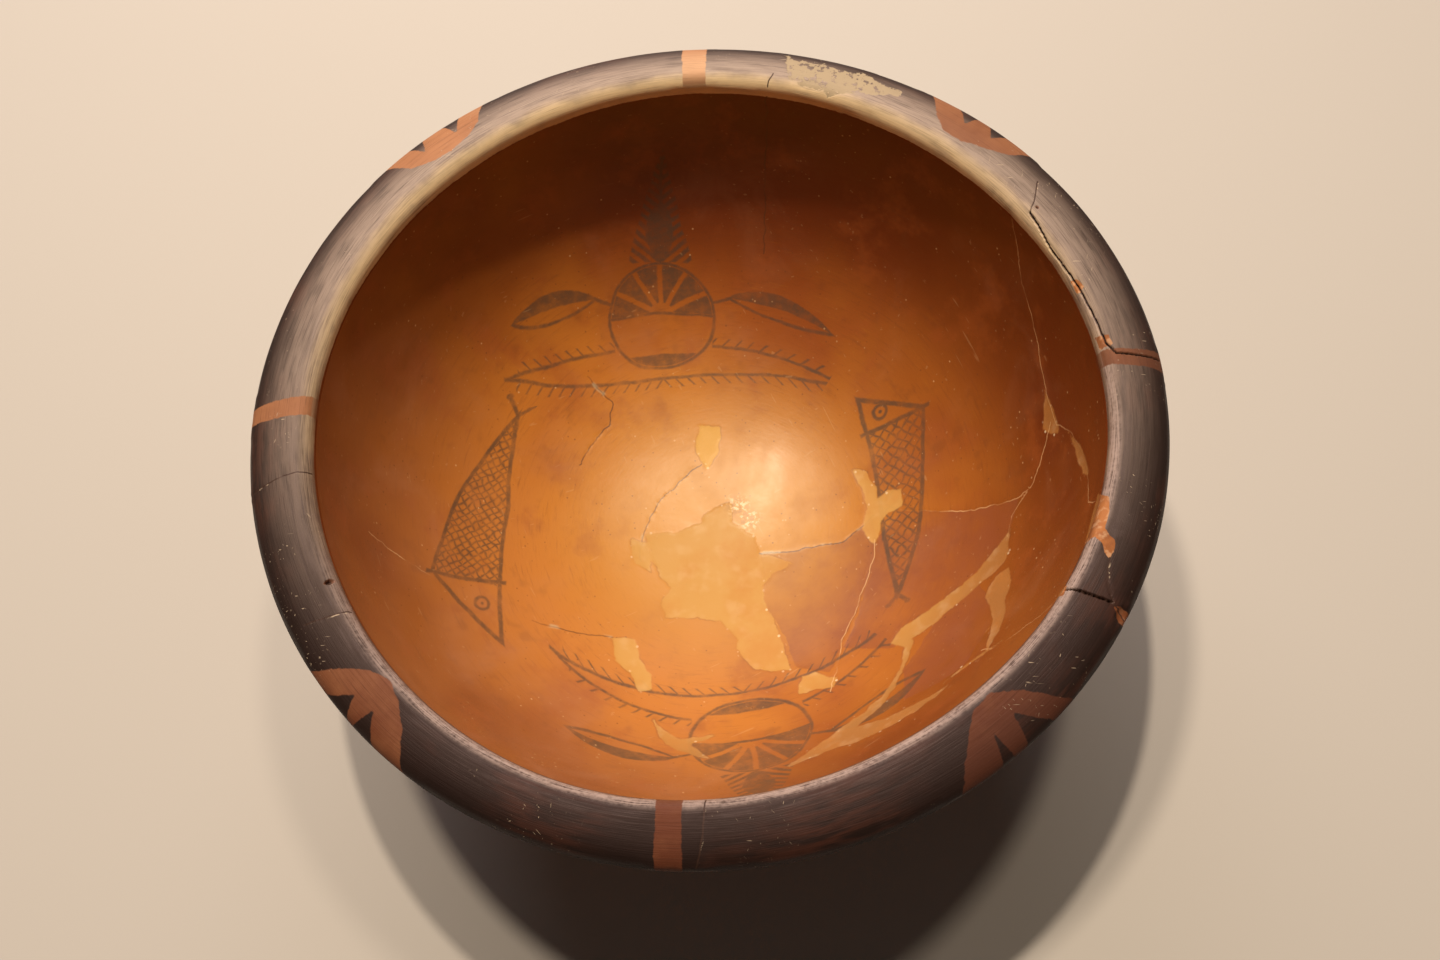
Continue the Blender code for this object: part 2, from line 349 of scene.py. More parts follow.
# Three sherds on the right were burnt redder than the rest in the fire. They are joined in with the others,
# and show as darker fields with sharp edges.
RED_SHERDS = (
    ((-6, 100), (-11, 138), (-12, 171), (-18, 166), (-27, 147), (-42, 120), (-48, 125), (-56, 100), (-30, 85),
     (-14, 86)),
    ((-28, 150), (-32, 164), (-38, 176), (-48, 178), (-58, 160), (-52, 140), (-40, 136)),
    ((-40, 27), (-16, 69), (-7, 83), (-16, 86), (-36, 88), (-54, 96), (-64, 108), (-71, 94), (-68, 71),
     (-69, 51), (-55, 36)),
)
sherds = Areas([trace(bowl_places(places), 0.0010, closed=True) for places in RED_SHERDS])

# The lip's paint: dark iron slip brushed round and round over the whole lip. Four bars and four corner fields
# are left bare, so that the red clay shows, each field with two dark points standing in from the outer edge.
# On the far side a patch of the paint has flaked away down to pale clay.
BAR_START = -0.14
PAST_EDGE = 1.05
# Each bar: the angles of its corners, two down in the mouth and two at the outer edge
BARS = (
    (86.6, 82.9, 82.7, 86.3),
    (-102.3, -98.9, -98.6, -101.5),
    (171.5, 174.7, 176.0, 173.7),
    (-0.8, -3.1, -4.8, -2.0),
)
FIELDS = (
    ((134.0, 1.00), (131.3, 0.52), (128.0, 0.34), (125.1, 0.30), (121.2, 0.38), (118.8, 0.55), (116.0, 1.00)),
    ((49.3, 1.00), (46.3, 0.53), (43.6, 0.28), (40.2, 0.30), (36.7, 0.46), (33.8, 0.62), (31.6, 1.00)),
    ((-149.8, 1.00), (-146.5, 0.55), (-144.0, 0.27), (-141.2, 0.14), (-138.1, 0.28), (-135.5, 0.50),
     (-132.4, 1.00)),
    ((-49.4, 1.00), (-53.5, 0.44), (-56.7, 0.18), (-60.2, 0.23), (-62.3, 0.44), (-64.8, 0.71), (-66.8, 1.00)),
)
# Each point: the angles of its foot, its tip and its foot's other end, and where across the lip the tip is
POINTS = (
    (129.6, 127.9, 126.0, 0.62), (123.6, 122.5, 119.6, 0.57),
    (45.4, 42.0, 41.2, 0.64), (40.2, 37.6, 36.0, 0.68),
    (-146.6, -143.0, -141.6, 0.66), (-141.0, -139.9, -137.0, 0.60),
    (-52.4, -56.4, -57.4, 0.55), (-59.2, -59.8, -61.2, 0.58),
)
FLAKED = (
    ((71.2, 0.80), (70.2, 0.28), (67.9, 0.10), (62.8, 0.08), (58.4, 0.26), (54.9, 0.40), (52.4, 0.50),
     (53.0, 0.74), (55.9, 0.68), (59.0, 0.78), (62.0, 0.66), (65.0, 0.80), (67.5, 0.72)),
)
bars = [tuple(zip(bar, (BAR_START, BAR_START, PAST_EDGE, PAST_EDGE))) for bar in BARS]
bare_clay = Areas([trace(past_lip(places), 0.0004, closed=True) for places in (*bars, *FIELDS)])
dark_points = Areas([
    trace(past_lip(((start, PAST_EDGE), (tip, across), (end, PAST_EDGE))), 0.0003, closed=True)
    for start, tip, end, across in POINTS
])
flaked = Areas([trace(past_lip(places), 0.0022, 0.005, closed=True) for places in FLAKED])

# The surface is made from rings of a few sides, then split finer and finer until each stretch is as short as
# its place needs: shortest along the breaks, and longest under the pot.
BOWL_SPACING = 0.0031
OUTER_SPACING = 0.0062
LINE_SPACING = 0.0011
CRACK_SPACING = 0.0005
SPREAD = 0.45
LINE_BAND = 0.001
FLAKE_BAND = 0.003
PIT_BAND = 0.004
TOO_LONG = 1.4
SPLIT_ROUNDS = 7
FIRST_SPACING = 0.012
FIRST_LIP_SPACING = 0.0042
FIRST_SIDES = 6
SMALL_RING = 0.012


def ring_sides(radius):
    """How many sides a first ring has: twice as many where it is twice as wide."""
    return FIRST_SIDES * 2 ** max(0, round(math.log2(max(radius / SMALL_RING, 0.5))))


def rows(start, end, spacing):
    """Evenly spaced runs after the first one and up to the last."""
    count = max(1, round((end - start) / spacing))
    return [start + (end - start) * (row + 1) / count for row in range(count)]


def ring_faces(shape, inner, outer):
    """Join a ring to the next one, which has as many sides, twice as many or half as many."""
    swap = len(inner) > len(outer)
    few, many = (outer, inner) if swap else (inner, outer)
    made = []
    for side, corner in enumerate(few):
        following = few[(side + 1) % len(few)]
        if len(few) == len(many):
            made.append((corner, many[side], many[(side + 1) % len(many)], following))
        else:
            left = many[2 * side]
            middle = many[2 * side + 1]
            right = many[(2 * side + 2) % len(many)]
            made += [(corner, left, middle), (corner, middle, following), (following, middle, right)]
    for corners in made:
        shape.faces.new(reversed(corners) if swap else corners)


def first_rings():
    """The pot in a few hundred large faces, with each corner's run kept on it."""
    shape = bmesh.new()
    along = shape.verts.layers.float.new("run")
    floor_middle = shape.verts.new((0, 0, FLOOR))
    foot_middle = shape.verts.new((0, 0, 0))
    foot_middle[along] = END_RUN
    runs = rows(0, PAINT_RUN, FIRST_SPACING) + rows(PAINT_RUN, NECK_RUN, FIRST_LIP_SPACING)
    runs += rows(NECK_RUN, FOOT_RUN, FIRST_SPACING) + rows(FOOT_RUN, END_RUN, FIRST_SPACING)[:-1]
    before = None
    for run in runs:
        sides = ring_sides(float(np.interp(run, RUNS, SECTION[:, 0])))
        ring = []
        for side in range(sides):
            corner = shape.verts.new(on_pot(2 * math.pi * side / sides, run))
            corner[along] = run
            ring.append(corner)
        if before:
            ring_faces(shape, before, ring)
        else:
            for side in range(sides):
                shape.faces.new((floor_middle, ring[side], ring[(side + 1) % sides]))
        before = ring
    for side, corner in enumerate(before):
        shape.faces.new((corner, foot_middle, before[(side + 1) % len(before)]))
    return shape


def spacing_at(points, runs):
    """How long an edge may be at each place."""
    spacing = np.where(runs < NECK_RUN, BOWL_SPACING, OUTER_SPACING)
    finest = [(open_cracks, CRACK_SPACING, LINE_BAND), (flaked, LINE_SPACING, FLAKE_BAND),
              (pits, CRACK_SPACING, PIT_BAND)]
    for lines in (dark_hairs, pale_hairs, fills, sherds, bare_clay, dark_points):
        finest.append((lines, LINE_SPACING, LINE_BAND))
    above = np.flatnonzero(runs < NECK_RUN)
    for lines, finest_spacing, band in finest:
        distance = lines.near(points[above])[0]
        wanted = finest_spacing + SPREAD * np.maximum(distance - band, 0)
        spacing[above] = np.minimum(spacing[above], wanted)
    return spacing


def split_finer(shape):
    """Split every edge that is too long for its place, and lay the new corners back on the pot."""
    along = shape.verts.layers.float["run"]
    for _ in range(SPLIT_ROUNDS):
        shape.verts.index_update()
        places = np.array([vertex.co[:] for vertex in shape.verts])
        runs = np.array([vertex[along] for vertex in shape.verts])
        ends = np.array([(edge.verts[0].index, edge.verts[1].index) for edge in shape.edges])
        a, b = ends.T
        length = np.maximum(np.linalg.norm(places[a] - places[b], axis=1), np.abs(runs[a] - runs[b]))
        candidates = np.flatnonzero(length > CRACK_SPACING * TOO_LONG)
        middle = (places[a] + places[b])[candidates] / 2
        wanted = spacing_at(middle, (runs[a] + runs[b])[candidates] / 2)
        chosen = set(candidates[length[candidates] > wanted * TOO_LONG].tolist())
        if not chosen:
            break
        before = len(shape.verts)
        long_edges = [edge for index, edge in enumerate(shape.edges) if index in chosen]
        bmesh.ops.subdivide_edges(shape, edges=long_edges, cuts=1, use_grid_fill=True)
        shape.verts.ensure_lookup_table()
        for vertex in shape.verts[before:]:
            vertex.co = on_pot(math.atan2(vertex.co.y, vertex.co.x), vertex[along])
    bmesh.ops.triangulate(shape, faces=shape.faces[:])


shape = first_rings()
split_finer(shape)
along = shape.verts.layers.float["run"]
points = np.array([vertex.co[:] for vertex in shape.verts])
runs = np.array([vertex[along] for vertex in shape.verts])
angles = np.arctan2(points[:, 1], points[:, 0])
basin_mesh = bpy.data.meshes.new("basin")
shape.to_mesh(basin_mesh)
shape.free()

# What hand and ground did to it: the wall is a little uneven, the cracks gape, the plaster lies a little low,
# and the chips and pits are gouged out of the lip.
UNEVEN = 0.00035
UNEVEN_LENGTH = 0.036
PEBBLE_DENTS = 0.00009
PEBBLE_LENGTH = 0.010
FILL_SINK = 0.00018
FLAKE_SINK = 0.00018
SHERD_STEP = 0.00015
FILL_LUMPS = 0.007
CHIP_LUMPS = 0.002
CHIP_REACH = 0.03
PIT_LENGTH = 0.002


def ease(value, low, high):
    """0 up to low, 1 from high on, and a smooth rise between."""
    t = np.clip((value - low) / (high - low), 0, 1)
    return t * t * (3 - 2 * t)


def lumps(spots, length):
    """Soft lumps of a length, from 0 to 1."""
    return np.array([noise.noise(Vector(spot) / length) * 0.5 + 0.5 for spot in spots])


crack_near = open_cracks.near(points)[0]
dark_near, dark_side = dark_hairs.near(points)
pale_near, pale_side = pale_hairs.near(points)
fill_depth, sherd_depth, bare_depth, point_depth, flake_depth = [
    areas.depth(points, angles, runs) for areas in (fills, sherds, bare_clay, dark_points, flaked)
]

sink = UNEVEN * lumps(points, UNEVEN_LENGTH) + PEBBLE_DENTS * lumps(points, PEBBLE_LENGTH)
sink += OPEN_DEPTH * np.clip(1 - crack_near / (OPEN_WIDTH / 2), 0, 1) ** 0.7
for hair_near in (dark_near, pale_near):
    sink += HAIR_DEPTH * np.clip(1 - hair_near / HAIR_WIDTH, 0, 1)
sink += (FILL_SINK * (0.6 + 0.8 * lumps(points, FILL_LUMPS))) * ease(fill_depth, -0.0002, 0.0009)
sink += SHERD_STEP * ease(sherd_depth, -0.0003, 0.0006)
sink += FLAKE_SINK * ease(flake_depth, -0.0002, 0.0005)
pit_depth = np.full(len(points), -1.0)
for chip_angle, across, half_length, half_width, depth in LIP_PITS + LIP_CHIPS:
    turn = math.radians(chip_angle)
    centre = on_pot(turn, lip_run(across))
    round_lip = np.array((-math.sin(turn), math.cos(turn), 0))
    over_lip = np.cross(out_of_pot(turn, lip_run(across)), round_lip)
    away = points - centre
    reach = np.hypot(away @ round_lip / half_length, away @ over_lip / half_width)
    uneven = reach * (0.8 + 0.4 * lumps(points, CHIP_LUMPS))
    reach = np.where(np.linalg.norm(away, axis=1) < CHIP_REACH, uneven, 9)
    sink += depth * np.sqrt(np.clip(1 - reach ** 2, 0, 1))
    if half_length < PIT_LENGTH:
        pit_depth = np.maximum(pit_depth, (1 - reach) * half_length)
moved = points - out_of_pot(angles, runs) * sink[:, None]
basin_mesh.vertices.foreach_set("co", moved.ravel())

KEPT = {
    "run": runs, "crack near": crack_near,
    "dark near": dark_near, "dark side": dark_side,
    "pale near": pale_near, "pale side": pale_side,
    "fill": fill_depth, "sherd": sherd_depth,
    "bare": np.minimum(bare_depth, -point_depth), "flaked": flake_depth, "pit": pit_depth,
}
basin_mesh.attributes.remove(basin_mesh.attributes["run"])
for name, values in KEPT.items():
    layer = basin_mesh.attributes.new(name, "FLOAT", "POINT")
    layer.data.foreach_set("value", (values * 1000).astype(np.float32))
basin_mesh.shade_smooth()

basin = bpy.data.objects.new("painted_basin", basin_mesh)
bpy.context.scene.collection.objects.link(basin)


# The finishes are worked out by shader nodes, written below as plain sums. A measure is a number that differs
# from place to place, with lengths in millimetres, and a spot is a place on the surface, in metres.
BUMP_HEIGHT = 0.001
COAT_ROUGHNESS = 0.24


class Wire:
    """What a shader node hands on: a measure, a spot or a colour, which may be plain to begin with."""

    def __init__(self, tree, source):
        self.tree = tree
        self.source = source

    def node(self, kind, inputs, output=0, **settings):
        """What a new shader node makes of its inputs."""
        node = self.tree.nodes.new("ShaderNode" + kind)
        for name, value in settings.items():
            setattr(node, name, value)
        wire_up(node, inputs)
        return Wire(self.tree, node.outputs[output])

    def sum(self, operation, *others):
        return self.node("Math", dict(enumerate((self, *others))), operation=operation)

    __add__ = partialmethod(sum, "ADD")
    __sub__ = partialmethod(sum, "SUBTRACT")
    __mul__ = partialmethod(sum, "MULTIPLY")
    __neg__ = partialmethod(sum, "MULTIPLY", -1)
    __abs__ = partialmethod(sum, "ABSOLUTE")
    least = partialmethod(sum, "MINIMUM")
    most = partialmethod(sum, "MAXIMUM")
    zigzag = partialmethod(sum, "PINGPONG")

    def rise(self, low, high):
        """0 up to low and 1 from high on, or the other way round where low is the larger."""
        inputs = {"Value": self, "From Min": low, "From Max": high}
        return self.node("MapRange", inputs, interpolation_type="SMOOTHSTEP")

    def painted(self, colour):
        return Wire(self.tree, colour)

    def into(self, other, share):
        """This colour turned into another by a share."""
        return self.node("Mix", {0: share, 6: self, 7: other}, 2, data_type="RGBA")

    def vector(self, operation, *others, output="Vector"):
        return self.node("VectorMath", dict(enumerate((self, *others))), output, operation=operation)

    times = partialmethod(vector, "MULTIPLY")
    plus = partialmethod(vector, "ADD")
    unit = partialmethod(vector, "NORMALIZE")
    dot = partialmethod(vector, "DOT_PRODUCT", output="Value")
    distance = partialmethod(vector, "DISTANCE", output="Value")

    def parts(self):
        return [self.node("SeparateXYZ", {0: self}, part) for part in range(3)]

    def joined(self, x, y, z):
        """A spot put together from measures or plain numbers."""
        return self.node("CombineXYZ", {0: x, 1: y, 2: z})

    def turned(self, axis, angle):
        return self.node("VectorRotate", {"Vector": self, "Axis": axis, "Angle": angle})

    def mottle(self, scale, detail=2, roughness=0.5, distortion=0):
        """Soft random lumps from 0 to 1, so many to the metre."""
        inputs = {"Scale": scale, "Detail": detail, "Roughness": roughness, "Distortion": distortion}
        return self.node("TexNoise", {"Vector": self, **inputs})

    def wobble(self, scale):
        """A soft random shift, from 0 to 1 each way."""
        return self.node("TexNoise", {"Vector": self, "Scale": scale, "Detail": 1}, "Color")

    def grains(self, scale):
        """The distance to the nearest of many scattered points, 0 at a point."""
        return self.node("TexVoronoi", {"Vector": self, "Scale": scale}, "Distance")

    def kept(self, name):
        """A measure kept on the mesh, in millimetres."""
        return self.node("Attribute", {}, "Fac", attribute_name=name)


def wire_up(node, inputs):
    """Link a node's inputs to what others hand on, or set them to plain values."""
    for name, value in inputs.items():
        socket = node.inputs[name]
        if isinstance(value, Wire):
            value = value.source
        if isinstance(value, bpy.types.NodeSocket):
            node.id_data.links.new(value, socket)
        else:
            socket.default_value = (*value, 1) if socket.type == "RGBA" else value


def finish(name, look, gloss=0.5, polish=0, shine=(1, 1, 1)):
    """A material whose nodes the look function lays out, and gives as colour, roughness and bump height.

    The gloss is how much of it shines and the shine in what colour, and the polish lies clear over that.
    """
    material = bpy.data.materials.new(name)
    material.use_nodes = True
    tree = material.node_tree
    spot = Wire(tree, None).node("TexCoord", {}, "Object")
    colour, roughness, height = look(spot)
    bump = spot.node("Bump", {"Strength": 1, "Distance": BUMP_HEIGHT, "Height": height})
    wire_up(tree.nodes["Principled BSDF"], {
        "Base Color": colour, "Roughness": roughness, "Normal": bump, "Specular IOR Level": gloss,
        "Specular Tint": shine, "Coat Weight": polish, "Coat Roughness": COAT_ROUGHNESS,
    })
    basin_mesh.materials.append(material)


# The fired clay inside: orange where it was rubbed most, redder in blotches where the fire was hotter, and
# yellower towards the floor's middle. Painted shade makes the upper wall and the right wall darker and
# redder. The pebble left fine shiny streaks round the bowl, and the plaster was rubbed down dull.
CLAY_ORANGE = (0.47, 0.168, 0.025)
CLAY_RED = (0.28, 0.072, 0.016)
CLAY_YELLOW = (0.49, 0.232, 0.014)
CLAY_BROWN = (0.13, 0.040, 0.014)
CLAY_SHADE_RED = (0.118, 0.0195, 0.0045)
CLAY_DUST_AND_REFLECTION = (0.40, 0.185, 0.105)
SHERD_RED = (0.22, 0.065, 0.030)
PLASTER = (0.50, 0.275, 0.072)
PLASTER_DULL = (0.32, 0.140, 0.040)
PLASTER_WHITE = (0.80, 0.66, 0.46)
PLASTER_NEW = (0.62, 0.36, 0.088)
CRACK_DARK = (0.030, 0.014, 0.009)
HAIR_BROWN = (0.085, 0.032, 0.014)
HAIR_PALE = (0.66, 0.42, 0.22)
CRUMBLED = (0.50, 0.41, 0.27)
NEW_PATCH = (0.001, 0.050, 0.010)
FLECKS = ((0.012, 0.012, 0.009), (0.017, 0.003, 0.009))
SCRATCH_AXIS = (0.3, 0.2, 0.9)


def streaks(spot, run, fineness):
    """Fine streaks that run round the pot."""
    around = spot.times((1, 1, 0)).unit().times((9, 9, 0))
    return around.plus(spot.joined(0, 0, run * (0.001 * fineness)))


def scratches(spot, lean, scale):
    """Short fine scratches that lean one way."""
    turned = spot.turned(SCRATCH_AXIS, math.radians(lean))
    return turned.times((scale, scale * 0.09, scale)).mottle(1, 1).rise(0.735, 0.785)


def bowl_clay(spot, motif):
    run = spot.kept("run")
    blotch = spot.mottle(9, 3, 0.55)
    mottle = spot.mottle(38, 4, 0.62)
    film = spot.plus((0.9, 0.4, 0.1)).mottle(21, 4, 0.6, 0.6)
    spotted = spot.plus((0.5, 0.2, 0.7)).mottle(95, 2, 0.5)
    fine = spot.mottle(420, 2, 0.6)
    streak = streaks(spot, run, 700).mottle(1, 3, 0.6)
    reddened = run.rise(20, 110) * 0.4 + 0.2
    # Painted shade: the right wall is made darker and redder.
    painted_shade_right_side = spot.dot((0.85, 0.53, 0)).rise(0.03, 0.16)
    redder = blotch.rise(0.44, 0.68) * reddened + painted_shade_right_side * 0.48
    clay = spot.painted(CLAY_ORANGE).into(CLAY_RED, redder.least(1))
    # Painted shade: darker and redder towards the rim, more so on the right.
    painted_upper_shade = run.rise(98, 205) * (blotch * 0.9 + 0.24 + painted_shade_right_side * 0.34).least(0.95)
    clay = clay.into(CLAY_SHADE_RED, painted_upper_shade.most(painted_shade_right_side * 0.45))
    clay = clay.into(CLAY_YELLOW, run.rise(120, 20) * (mottle * 0.7 + 0.4))
    clay = clay.into(CLAY_RED, mottle.rise(0.50, 0.72) * reddened * 0.85)
    clay = clay.into(CLAY_BROWN, spotted.rise(0.56, 0.78) * run.rise(45, 130) * 0.26)
    clay = clay.into(CLAY_BROWN, streak.rise(0.52, 0.80) * run.rise(40, 100) * 0.30)
    clay = clay.into(CLAY_YELLOW, streak.rise(0.42, 0.15) * run.rise(210, 90) * 0.20)
    # the burnt sherds, the dust and a painted reflection on the left wall, the picture, and what has been
    # knocked or scratched
    sherd = spot.kept("sherd").rise(-0.3, 0.5)
    burnt = mottle.rise(0.25, 0.65) * 0.45 + 0.25
    clay = clay.into(SHERD_RED, sherd * burnt * (run.rise(50, 95) * 0.6 + 0.4))
    # A pale film: dust in patches all round, and on the left wall also a painted reflection.
    dust_and_reflection_side = spot.dot((-0.85, -0.52, 0)).rise(0.02, 0.13)
    clay = clay.into(CLAY_DUST_AND_REFLECTION, film.rise(0.50, 0.78) * 0.14 + dust_and_reflection_side * (film * 0.40))
    worn = spot.mottle(120, 3, 0.7).rise(0.74, 0.36) * 0.40 + film.rise(0.64, 0.40) * 0.16
    clay = clay.into(PIGMENT, motif(spot, run) * (worn + 0.24))
    dark_specks = spot.grains(240).rise(0.16, 0.06) * spot.mottle(60, 1).rise(0.48, 0.60)
    pale_specks = spot.plus((0.3, 0.1, 0.2)).grains(170).rise(0.12, 0.05)
    pale_specks = pale_specks * spot.mottle(45, 1).rise(0.54, 0.64)
    clay = clay.into(CLAY_BROWN, dark_specks * 0.55)
    clay = clay.into(HAIR_PALE, pale_specks * 0.5)
    scuffs = scratches(spot, 70, 420) + scratches(spot, -20, 500)
    clay = clay.into(HAIR_PALE, scuffs.least(1) * 0.14)
    # the joins between sherds, and the plaster in the gaps
    dark = abs(spot.kept("dark side")).rise(0.60, 0.10) * spot.kept("dark near").rise(1.2, 0.8)
    clay = clay.into(HAIR_BROWN, dark * mottle.rise(0.25, 0.60) * 0.75)
    crumbled = (spot.kept("dark near") + (mottle - 0.5) * 4).rise(1.6, 0.4) * spotted.rise(0.52, 0.66)
    crumbled = crumbled * run.rise(150, 125)
    clay = clay.into(CRUMBLED, crumbled * 0.55)
    fill_edge = spot.kept("fill") + (fine - 0.5) * 0.9 + (spotted - 0.5) * 1.2
    fill = fill_edge.rise(-0.65, 0.65)
    plaster = spot.painted(PLASTER).into(PLASTER_DULL, run.rise(90, 165))
    plaster = plaster.into(CLAY_ORANGE, mottle.rise(0.42, 0.72) * 0.4)
    plaster = plaster.into(PLASTER_WHITE, spotted.rise(0.50, 0.75) * 0.12)
    plaster = plaster.into(PLASTER_NEW, spot.distance(NEW_PATCH).rise(0.022, 0.017) * 0.85)
    clay = clay.into(plaster, fill * 0.88)
    # Brown and white flecks in two small spots in the floor's middle.
    fleck_patch = spot.distance(FLECKS[0]).least(spot.distance(FLECKS[1])).rise(0.009, 0.002)
    clay = clay.into(CLAY_BROWN, fleck_patch * fine.rise(0.50, 0.40) * 0.35)
    clay = clay.into(PLASTER_WHITE, fleck_patch * fine.rise(0.50, 0.62) * 0.60)
    rim_of_fill = abs(fill_edge + 0.3).rise(0.60, 0.15) * spotted.rise(0.40, 0.62)
    clay = clay.into(CLAY_BROWN, rim_of_fill * 0.24)
    # Painted glints: white specks along the plaster's edges.
    glints = spot.plus((0.7, 0.6, 0.1)).grains(210).rise(0.22, 0.08) * abs(fill_edge).rise(2.2, 0.3)
    clay = clay.into(PLASTER_WHITE, glints * mottle.rise(0.42, 0.60) * 0.75)
    pale = abs(spot.kept("pale side")).rise(0.42, 0.16) * spot.kept("pale near").rise(1.4, 0.9)
    clay = clay.into(HAIR_PALE, pale * mottle.rise(0.34, 0.62) * 0.55)
    roughness = film * 0.30 + mottle * 0.20 + 0.16 + fill * 0.20
    height = fine * 0.03 + streak * 0.03 + mottle * 0.10 + spotted * 0.07
    return clay, roughness, height


# The pictures in the bowl were brushed on in thin dark slip before firing, and have worn to a soft brown.
# Each is drawn on a flat of its own: sideways round the bowl and upward to the rim, in millimetres.
PIGMENT = (0.070, 0.048, 0.034)
LINE = 0.85
SUN_RADIUS = 28
EAR_FOOT = 31
EAR_TOP = 92
TAIL_ROOT = 57


def lens(flat, centre, lean, half_length, half_width):
    """How far outside a pointed leaf shape a place lies, with the leaf leaning from upright in degrees."""
    arc_radius = (half_length ** 2 + half_width ** 2) / (2 * half_width)
    offset = arc_radius - half_width
    lean = math.radians(lean)
    sideways = (math.cos(lean) * offset, math.sin(lean) * offset)
    first = flat.distance((centre[0] + sideways[0], centre[1] + sideways[1], 0))
    second = flat.distance((centre[0] - sideways[0], centre[1] - sideways[1], 0))
    return first.most(second) - arc_radius


def stroke(flat, start, end):
    """The distance from a straight brush stroke."""
    start = Vector((*start, 0))
    end = Vector((*end, 0))
    along = (end - start).normalized()
    from_start = flat.plus(-start)
    reach = from_start.dot(along).most(0).least((end - start).length)
    return from_start.distance(flat.joined(reach * along.x, reach * along.y, 0))


def drawn_flat(spot, run, angle, height, unsteady):
    """The flat of a picture whose middle lies at an angle and a run, drawn by an unsteady hand."""
    turn = math.radians(angle)
    sideways = spot.dot((math.sin(turn) * 1000, -math.cos(turn) * 1000, 0))
    shake = spot.wobble(55).plus((-0.5, -0.5, 0)).times((unsteady, unsteady, 0))
    return spot.joined(sideways, run - height, 0).plus(shake).times((1, 1, 0))


def brushed(spot, outside):
    """Where the paint lies, from how far outside it a place is, with a ragged edge."""
    return (outside + (spot.mottle(380, 2) - 0.5) * 0.9).rise(0.60, -0.60)


def roundel(angle, height, lean, bend):
    """A rising sun in a ring, with an ear of grain above, a leaf at each side and a barbed twig below."""
    upright = (math.cos(math.radians(lean)), math.sin(math.radians(lean)))

    def picture(spot, run):
        drawn = drawn_flat(spot, run, angle, height, 2.0)
        x = drawn.dot((upright[0], -upright[1], 0))
        y = drawn.dot((upright[1], upright[0], 0))
        flat = spot.joined(x, y, 0)
        side = abs(x)
        half = spot.joined(side, y, 0)
        from_middle = flat.distance((0, 0, 0))
        disc = from_middle - SUN_RADIUS
        ring = abs(disc - 1)
        rays = side.least(abs(y * 0.5 - side * 0.87)).least(abs(y * 0.87 - side * 0.5))
        sun = disc.most(-(y - 1.5)).most(-(rays - 1.3)).most(-(from_middle - 7))
        horizon = abs(y - 1).most(disc)
        earth = disc.most(y + 21)
        ear = (y - EAR_TOP) * -0.26
        grains = ((y - side * 0.9).zigzag(3.0) * 0.75).most(side - ear).most(-(y - EAR_FOOT)) - 0.3
        stem = side.most(abs(y - 60) - 31)
        core = lens(flat, (0, 47), 0, 18, 7.5)
        leaf = lens(half, (61, 16), -84, 24, 7)
        leaf_rib = y - 16 - (side - 61) * 0.105
        stalk = stroke(half, (28, 9), (37, 13.5))
        lift = x * x * bend
        low_twig = y + 35 - lift
        low = abs(low_twig).most(side - 92)
        high_twig = y + 17 - lift + x * x * 0.0022
        high = abs(high_twig).most(side - 90).most(-(side - 28))
        slant = (side - abs(low_twig) * 0.9).zigzag(3.2)
        barbs = slant.most(abs(low_twig + 2) - 2.2).most(side - 86) + 0.3
        high_slant = (side - abs(high_twig) * 0.9).zigzag(3.2)
        barbs = barbs.least(high_slant.most(abs(high_twig - 2) - 2.2).most(abs(side - 56) - 28) + 0.3)
        lines = ring.least(horizon).least(grains).least(stem).least(abs(leaf)).least(stalk)
        lines = lines.least(low).least(high).least(barbs)
        solid = sun.least(earth).least(core).least(leaf.most(-leaf_rib))
        return brushed(spot, (lines - LINE).least(solid))

    return picture


def net_fish(angle, height, curve, plump, snout_lean, eye_place, mesh, fork):
    """A long fish with a netted body, a plain head cut off slantwise, a ring eye and a forked tail."""
    rise, slope, bend = curve
    snout = (math.cos(math.radians(snout_lean)), math.sin(math.radians(snout_lean)))

    def picture(spot, run):
        x, y, _ = drawn_flat(spot, run, angle, height, 1.8).parts()
        x = -x
        y = y - x * slope - x * x * bend - rise
        flat = spot.joined(x, y, 0)
        width = ((x + TAIL_ROOT) * 0.29).least(x * 0.11 + plump)
        body = abs(y) - width
        whole = body.most(x * snout[0] + y * snout[1] - 42.8)
        outline = abs(whole) - 0.35
        gill = abs(x - 38.5 - y * 0.08).most(body - 2.5) - 0.25
        shaken = x + (spot.mottle(150, 1) - 0.5) * 5
        net = (shaken * 1.1 + y).zigzag(mesh).least((shaken * 1.1 - y).zigzag(mesh)) * 0.67 + 0.38
        net = net.most(body).most(x - 38)
        eye = flat.distance((*eye_place, 0))
        eye = abs(eye - 3.6).least(eye)
        ends = ((-TAIL_ROOT - fork, fork), (-TAIL_ROOT - fork, -fork * 0.7))
        tail = stroke(flat, (-TAIL_ROOT, 0), ends[0]).least(stroke(flat, (-TAIL_ROOT, 0), ends[1]))
        tips = flat.distance((*ends[0], 0)).least(flat.distance((*ends[1], 0))) - fork * 0.1
        lines = outline.least(gill).least(net).least(eye).least(tail - 0.1).least(tips)
        return brushed(spot, lines - LINE)

    return picture


PICTURES = {
    "bowl far": roundel(98, 126, 12, 0.0040),
    "bowl near": roundel(-88.7, 134, 0, 0.0020),
    "bowl left": net_fish(175, 127.5, (3.4, 0.234, 0.0027), 15, 37.7, (51, -11), 2.6, 9),
    "bowl right": net_fish(0, 100, (0.7, 0.153, 0.0045), 12.3, 25.6, (46, -8), 3.3, 5),
}
for name, picture in PICTURES.items():
    finish(name, lambda spot, picture=picture: bowl_clay(spot, picture), 0.33, 0.05)
